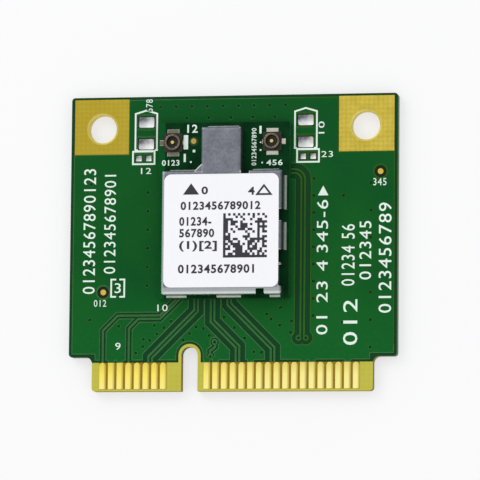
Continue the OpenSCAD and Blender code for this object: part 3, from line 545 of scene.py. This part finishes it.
def moduleMaskFinish(look):
    f = Finish("darkGreenMask", Roughness=0.36, Specular_IOR_Level=0.03)
    cloud = f.noise(1.6, 4.0, 0.6)
    speck = f.noise(0.2, 3.0)
    soft, lean = f.softEdge(look["edge"])
    tone = f.blend(f.between(cloud, 0.3, 0.7), rgb(*look["dark"]), rgb(*look["light"]))
    tone = f.blend(f.between(speck, 0.4, 0.8) * 0.3, tone, rgb(*look["dark"]))
    # painted light lifting the shade on the left border strip
    left = f.axes()[0] < look["marginTo"] * mm
    tone = f.blend(left * 0.6, tone, rgb(*look["marginLight"]))
    # painted highlight along the edges
    tone = f.blend(f.between(lean, 0.02, 0.3) * 0.6, tone, rgb(*look["rim"]))
    f.set(Base_Color=tone, Roughness=0.32 + speck * 0.14, Normal=f.bump(speck, 0.004, soft, 0.5))
    return f


wear("module_mask", moduleMaskFinish(moduleLook))


def inkFinish(name, tone, thin):
    f = Finish(name, Roughness=0.6, Specular_IOR_Level=0.3)
    fine = f.noise(0.09, 3.0, 0.7)
    cloud = f.noise(0.8, 2.0)
    worn = f.between(fine, 0.3, 0.8) * 0.4 + cloud * 0.15
    f.set(Base_Color=f.blend(worn, rgb(*tone), rgb(*thin)), Roughness=0.5 + fine * 0.2,
          Normal=f.bump(fine, 0.003))
    return f


whiteInk = inkFinish("whiteInk", (238, 250, 242), (196, 226, 206))
darkInk = inkFinish("labelInk", (40, 40, 48), (66, 66, 74))
for name in ("silkscreen", "module_silkscreen"):
    wear(name, whiteInk)


# label: coated white stock with a faint fibre and a slightly grey cut edge
labelLook = {"white": (250, 250, 254), "fibre": (240, 241, 247), "cut": (214, 216, 222)}


def labelFinish(look):
    f = Finish("labelStock", Roughness=0.55, Specular_IOR_Level=0.35)
    fibre = f.noise(0.3, 5.0, 0.65, f.stretched((1.0, 0.35, 1.0), 0.3))
    cloud = f.noise(3.5, 2.0)
    soft, lean = f.softEdge(0.05)
    aged = f.between(fibre, 0.35, 0.75) * 0.35 + cloud * 0.2
    tone = f.blend(aged, rgb(*look["white"]), rgb(*look["fibre"]))
    tone = f.blend(f.between(lean, 0.05, 0.4) * 0.5, tone, rgb(*look["cut"]))
    f.set(Base_Color=tone, Roughness=0.48 + fibre * 0.12, Normal=f.bump(fibre, 0.004, soft, 0.5))
    return f


wear("shield_label", labelFinish(labelLook))
print("finishes on the CAD nodes done")


# ---- pieces of print and solder that are added by hand
def deselect():
    if bpy.context.object and bpy.context.object.mode != "OBJECT":
        bpy.ops.object.mode_set(mode="OBJECT")
    bpy.ops.object.select_all(action="DESELECT")


def settle(piece):
    # place and size go into the mesh, the object stays at the origin
    deselect()
    piece.select_set(True)
    bpy.context.view_layer.objects.active = piece
    bpy.ops.object.transform_apply(location=True, rotation=True, scale=True)
    return piece


def editAll(faces=False):
    bpy.ops.object.mode_set(mode="EDIT")
    if faces:
        bpy.ops.mesh.select_mode(type="FACE")
    bpy.ops.mesh.select_all(action="SELECT")


def closeEdit():
    bpy.ops.mesh.select_all(action="SELECT")
    bpy.ops.mesh.normals_make_consistent(inside=False)
    bpy.ops.object.mode_set(mode="OBJECT")


def extrudeUp(height):
    bpy.ops.mesh.extrude_region_move(TRANSFORM_OT_translate={"value": (0, 0, height * mm)})


# left, right, near and far edge of a mesh
def extent(piece):
    xs = [v.co.x for v in piece.data.vertices]
    ys = [v.co.y for v in piece.data.vertices]
    return min(xs), max(xs), min(ys), max(ys)


def joined(pieces, name, finish):
    deselect()
    for p in pieces:
        p.select_set(True)
    bpy.context.view_layer.objects.active = pieces[0]
    if len(pieces) > 1:
        bpy.ops.object.join()
    whole = bpy.context.view_layer.objects.active
    whole.name = name
    whole.data.name = name
    settle(whole)
    whole.data.materials.clear()
    whole.data.materials.append(finish.material)
    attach(whole, "root")
    return whole


# how the ink lies, in millimetres, and how the numerals are set
inkLook = {"thick": 0.012, "spacing": 1.12, "curveSteps": 3}


# a run of plain numerals that fills a given box: middle, length along the line, height, turn
def numerals(words, x, y, long, high, turn, z, bold):
    deselect()
    bpy.ops.object.text_add(location=(0, 0, 0))
    piece = bpy.context.object
    piece.data.body = words
    piece.data.offset = bold
    piece.data.space_character = inkLook["spacing"]
    piece.data.resolution_u = inkLook["curveSteps"]
    # half a unit each way: one unit thick until it is scaled
    piece.data.extrude = 0.5
    bpy.ops.object.convert(target="MESH")
    piece = bpy.context.object
    left, right, near, far = extent(piece)
    centre = Vector(((left + right) / 2, (near + far) / 2, -0.5))
    piece.data.transform(Matrix.Translation(-centre))
    piece.scale = (long * mm / (right - left), high * mm / (far - near), inkLook["thick"] * mm)
    piece.rotation_euler = (0, 0, math.radians(turn))
    piece.location = (x * mm, y * mm, z * mm)
    return settle(piece)


# a flat bar or block of ink
def bar(x, y, w, d, z):
    deselect()
    bpy.ops.mesh.primitive_plane_add(size=1, location=(x * mm, y * mm, z * mm))
    piece = bpy.context.object
    piece.scale = (w * mm, d * mm, 1)
    settle(piece)
    editAll()
    extrudeUp(inkLook["thick"])
    closeEdit()
    return piece


# four bars round a box, with a gap left in the middle of the upper and lower ones
def bracketBox(x, y, w, d, line, gap, z):
    arm = (w - gap) / 2
    bars = [bar(x + s * (w - line) / 2, y, line, d, z) for s in (-1, 1)]
    for t in (-1, 1):
        for s in (-1, 1):
            middle = x + s * (w - arm - line) / 2
            bars.append(bar(middle, y + t * (d - line) / 2, arm - line, line, z))
    return bars


# a triangle of ink: middle of its box, width, height, and the line width when it is hollow
def triangle(x, y, w, d, z, line=None):
    deselect()
    bpy.ops.mesh.primitive_circle_add(vertices=3, radius=1, fill_type="NGON", location=(0, 0, 0))
    piece = bpy.context.object
    left, right, near, far = extent(piece)
    piece.data.transform(Matrix.Translation((-(left + right) / 2, -(near + far) / 2, 0)))
    piece.scale = (w * mm / (right - left), d * mm / (far - near), 1)
    piece.location = (x * mm, y * mm, z * mm)
    settle(piece)
    editAll(faces=True)
    if line:
        bpy.ops.mesh.inset(thickness=line * mm, depth=0)
        bpy.ops.mesh.delete(type="FACE")
        bpy.ops.mesh.select_all(action="SELECT")
    extrudeUp(inkLook["thick"])
    closeEdit()
    return piece


# ---- empty lands: solder melted into low pillows with a painted reflection, dark at the far left and light towards the near right
pillowLook = {
    "lands": [  # x, y, width, depth
        (-8.034, 11.07, 1.45, 1.0), (-8.034, 9.07, 1.45, 1.0), (6.617, 11.07, 1.45, 1.0),
        (6.617, 9.07, 1.45, 1.0), (-8.724, 7.77, 0.55, 0.55), (-7.804, 7.77, 0.55, 0.55),
        (6.387, 7.77, 0.55, 0.55), (7.307, 7.77, 0.55, 0.55),
    ],
    "foot": 0.96, "wall": 0.03, "steps": [(0.05, 0.028), (0.07, 0.016), (0.1, 0.008)],
    "acrossCells": 6, "alongCells": 4, "dullAndShade": (88, 92, 96), "litTone": (246, 249, 246),
}


def pillow(x, y, w, d):
    look = pillowLook
    deselect()
    bpy.ops.mesh.primitive_grid_add(
        x_subdivisions=look["acrossCells"], y_subdivisions=look["alongCells"], size=1,
        location=(x * mm, y * mm, look["foot"] * mm))
    piece = bpy.context.object
    piece.scale = (w * mm, d * mm, 1)
    settle(piece)
    editAll(faces=True)
    extrudeUp(look["wall"])
    for inward, rise in look["steps"]:
        bpy.ops.mesh.inset(thickness=inward * mm, depth=rise * mm, use_even_offset=True)
    closeEdit()
    melt = piece.modifiers.new("melted", "SUBSURF")
    melt.levels = 1
    melt.render_levels = 1
    bpy.ops.object.modifier_apply(modifier=melt.name)
    bpy.ops.object.shade_smooth()
    # each land keeps its own 0 to 1 across and along
    laid = piece.data.uv_layers.active.data
    for loop in piece.data.loops:
        spot = piece.data.vertices[loop.vertex_index].co
        laid[loop.index].uv = (spot.x / (w * mm) - x / w + 0.5, spot.y / (d * mm) - y / d + 0.5)
    return piece


def pillowFinish(look):
    f = Finish("meltedSolder", Metallic=1.0, Roughness=0.25)
    across, along = f.axes(f.node("ShaderNodeTexCoord", out="UV"))[:2]
    wander = f.noise(0.5, 3.0)
    # painted reflection: dark at the far left, light towards the near right
    lit = f.between(across * 0.6 - along + wander * 0.7, -0.35, 0.75)
    ripple = f.noise(0.2, 2.0)
    tone = f.blend(lit, rgb(*look["dullAndShade"]), rgb(*look["litTone"]))
    f.set(Base_Color=tone, Roughness=0.2 + ripple * 0.14, Normal=f.bump(ripple, 0.006, None, 0.5))
    return f


lands = joined([pillow(*land) for land in pillowLook["lands"]], "solderPillows",
               pillowFinish(pillowLook))
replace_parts(lands, "solder_lands")
print("solder pillows done")


# ---- print on the carrier: plain counting numerals where the card has its print
carrierPrint = {
    "level": 1.02, "bold": 0.002,
    "box": (-10.53, -4.04, 1.36, 1.72, 0.15, 0.3),  # x, y, width, depth, line, gap
    "arrow": (8.26, 4.63, 0.95, 0.88),  # x, y, width, depth
    "numerals": [  # words, x, y, length, height, turn
        ("01234567890123", -13.22, 1.15, 11.4, 1.13, 90),
        ("012345678901", -11.32, 1.79, 9.02, 1.08, 90),
        ("3", -10.53, -4.04, 0.58, 0.9, 0),
        ("345-6", 8.21, 1.41, 4.75, 1.03, 90),
        ("01 23 4", 8.21, -5.04, 6.65, 1.03, 90),
        ("01234 56", 10.56, -1.22, 5.55, 1.2, 90),
        ("012", 10.79, -7.27, 4.1, 1.3, 90),
        ("012345", 12.12, -0.81, 5.28, 1.08, 90),
        ("0123456789", 13.91, -1.49, 9.93, 1.16, 90),
        ("012", -12.15, -5.41, 1.15, 0.62, 0),
        ("345", 13.4, 5.36, 1.2, 0.66, 0),
        ("678", -7.79, 12.6, 1.15, 0.62, 90),
        ("12", -8.03, 6.62, 0.95, 0.55, 0),
        ("10", 8.06, 10.35, 1.1, 0.55, 90),
        ("23", 8.6, 7.93, 1.05, 0.55, 0),
        ("9", -10.45, -9.32, 0.5, 0.64, 0),
        ("10", -6.37, -5.86, 0.95, 0.62, 0),
    ],
}
level, bold = carrierPrint["level"], carrierPrint["bold"]
marks = [numerals(*line, z=level, bold=bold) for line in carrierPrint["numerals"]]
marks += bracketBox(*carrierPrint["box"], level)
marks.append(triangle(*carrierPrint["arrow"], level))
joined(marks, "carrierPrint", whiteInk)
print("carrier print done")

# ---- print on the module beside the sockets
modulePrint = {
    "level": 1.68, "bold": 0.02,
    "numerals": [
        ("12", -3.65, 10.33, 0.96, 0.75, 0),
        ("1", 2.6, 10.14, 0.2, 0.7, 0),
        ("1", -4.34, 7.67, 0.2, 0.75, 0),
        ("0123", -5.63, 7.24, 1.62, 0.52, 0),
        ("456", 3.9, 7.15, 1.5, 0.52, 0),
        ("01234567890", 2.02, 8.6, 3.4, 0.46, 90),
    ],
    "bars": [  # x, y, width, depth
        (-4.25, 9.1, 0.42, 1.3), (-3.49, 8.29, 0.24, 0.24), (-3.77, 7.29, 0.16, 0.16),
        (2.62, 9.0, 0.12, 0.12), (2.62, 8.3, 0.16, 0.16), (2.78, 7.15, 0.14, 0.14),
    ],
}
level, bold = modulePrint["level"], modulePrint["bold"]
marks = [numerals(*line, z=level, bold=bold) for line in modulePrint["numerals"]]
marks += [bar(*spot, level) for spot in modulePrint["bars"]]
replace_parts(joined(marks, "modulePrint", whiteInk), "module_silkscreen")

# ---- print on the label: two triangles, rows of numerals and a plain block pattern
labelPrint = {
    "level": 3.01, "bold": 0.03,
    "numerals": [
        ("0", -2.21, 4.53, 0.6, 0.72, 0),
        ("4", 2.05, 4.45, 0.6, 0.72, 0),
        ("0123456789012", -0.76, 3.15, 7.3, 0.78, 0),
        ("01234-", -3.05, 1.74, 2.94, 0.8, 0),
        ("567890", -2.91, 0.68, 3.2, 0.8, 0),
        ("(1)[2]", -2.78, -0.5, 3.45, 0.95, 0),
        ("012345678901", -1.12, -2.56, 6.95, 0.82, 0),
    ],
    "solidMark": (-3.46, 4.68, 1.47, 1.02), "hollowMark": (3.2, 4.56, 1.58, 1.02),
    "hollowLine": 0.17, "blockX": 1.51, "blockY": 0.44, "blockSide": 4.0, "cells": 18,
    "seed": 11, "darkShare": 0.52,
}
level, bold = labelPrint["level"], labelPrint["bold"]
marks = [numerals(*line, z=level, bold=bold) for line in labelPrint["numerals"]]
marks.append(triangle(*labelPrint["solidMark"], level))
marks.append(triangle(*labelPrint["hollowMark"], level, line=labelPrint["hollowLine"]))


def blockPattern(look):
    # a square of dark and light cells, shuffled with a fixed seed: two borders are solid
    # and two are dashed
    count = look["cells"]
    x, y = look["blockX"] * mm, look["blockY"] * mm
    pick = random.Random(look["seed"])
    deselect()
    bpy.ops.mesh.primitive_grid_add(x_subdivisions=count, y_subdivisions=count,
                                    size=look["blockSide"] * mm,
                                    location=(x, y, look["level"] * mm))
    piece = settle(bpy.context.object)
    half = look["blockSide"] * mm / 2
    step = look["blockSide"] * mm / count
    editAll(faces=True)
    bpy.ops.mesh.select_all(action="DESELECT")
    bpy.ops.object.mode_set(mode="OBJECT")
    for face in piece.data.polygons:
        column = int((face.center.x - x + half) / step)
        row = int((face.center.y - y + half) / step)
        dark = pick.random() < look["darkShare"]
        if column == 0 or row == 0:
            dark = True
        elif row == count - 1:
            dark = column % 2 == 0
        elif column == count - 1:
            dark = row % 2 == 0
        face.select = not dark
    bpy.ops.object.mode_set(mode="EDIT")
    bpy.ops.mesh.delete(type="FACE")
    bpy.ops.object.mode_set(mode="OBJECT")
    solid = piece.modifiers.new("inkThickness", "SOLIDIFY")
    solid.thickness = inkLook["thick"] * mm
    solid.offset = 1.0
    bpy.ops.object.modifier_apply(modifier=solid.name)
    return piece


marks.append(blockPattern(labelPrint))
joined(marks, "labelPrint", darkInk)
print("module and label print done")


# ---- floor, backdrop and light
stageLook = {
    "floorSize": 3.0, "floorDrop": 0.004, "floorGrain": 40.0, "floorLift": 0.6,
    "white": (252, 252, 253), "shade": (250, 250, 252), "worldStrength": 0.82,
    "seenBy": ("Is Camera Ray", "Is Glossy Ray", "Is Transmission Ray"),
}


def paleStage():
    look = stageLook
    white = rgb(*look["white"])
    deselect()
    bpy.ops.mesh.primitive_plane_add(size=look["floorSize"],
                                     location=(0, 0, -look["floorDrop"] * mm))
    floor = bpy.context.object
    floor.name = "paleFloor"
    settle(floor)
    f = Finish("floorPaper", Roughness=0.85, Specular_IOR_Level=0.2)
    cloud = f.noise(look["floorGrain"], 2.0) * 0.5
    f.set(Base_Color=f.blend(cloud, white, rgb(*look["shade"])))
    # rays that see the floor get some of its plain white, so only a soft shadow stays
    paths = [f.node("ShaderNodeLightPath", out=label) for label in look["seenBy"]]
    lift = paths[0].most(paths[1]).most(paths[2]) * look["floorLift"]
    glow = f.node("ShaderNodeEmission", None, [(*white, 1), 1.0])
    mixed = f.node("ShaderNodeMixShader", None, [lift, Wire(f, f.shader.outputs[0]), glow])
    f.tree.links.new(mixed.socket, f.output.inputs[0])
    floor.data.materials.append(f.material)

    world = bpy.data.worlds.new("softRoom")
    bpy.context.scene.world = world
    world.use_nodes = True
    tree = world.node_tree
    tree.nodes.clear()
    out = tree.nodes.new("ShaderNodeOutputWorld")
    room = tree.nodes.new("ShaderNodeBackground")
    room.inputs[0].default_value = (1, 1, 1, 1)
    room.inputs[1].default_value = look["worldStrength"]
    backdrop = tree.nodes.new("ShaderNodeBackground")
    backdrop.inputs[0].default_value = (*white, 1)
    backdrop.inputs[1].default_value = 1.0
    path = tree.nodes.new("ShaderNodeLightPath")
    mix = tree.nodes.new("ShaderNodeMixShader")
    seen = tree.nodes.new("ShaderNodeMath")
    seen.operation = "MAXIMUM"
    most = tree.nodes.new("ShaderNodeMath")
    most.operation = "MAXIMUM"
    tree.links.new(path.outputs["Is Camera Ray"], seen.inputs[0])
    tree.links.new(path.outputs["Is Glossy Ray"], seen.inputs[1])
    tree.links.new(seen.outputs[0], most.inputs[0])
    tree.links.new(path.outputs["Is Transmission Ray"], most.inputs[1])
    tree.links.new(most.outputs[0], mix.inputs[0])
    tree.links.new(room.outputs[0], mix.inputs[1])
    tree.links.new(backdrop.outputs[0], mix.inputs[2])
    tree.links.new(mix.outputs[0], out.inputs[0])


# where each lamp stands in metres, its watts and its width
lamps = {"keyLamp": ((-0.18, 0.20, 0.24), 0.26, 0.2), "fillLamp": ((0.24, -0.14, 0.24), 0.08, 0.2)}


def softLamp(name, place, power, size):
    data = bpy.data.lights.new(name, "AREA")
    data.shape = "DISK"
    data.size = size
    data.energy = power
    lamp = bpy.data.objects.new(name, data)
    bpy.context.scene.collection.objects.link(lamp)
    lamp.location = place
    lamp.rotation_mode = "QUATERNION"
    lamp.rotation_quaternion = (-Vector(place)).to_track_quat("-Z", "Y")


paleStage()
for name, lamp in lamps.items():
    softLamp(name, *lamp)
bpy.context.scene.view_settings.view_transform = "Standard"
print("stage and light done")
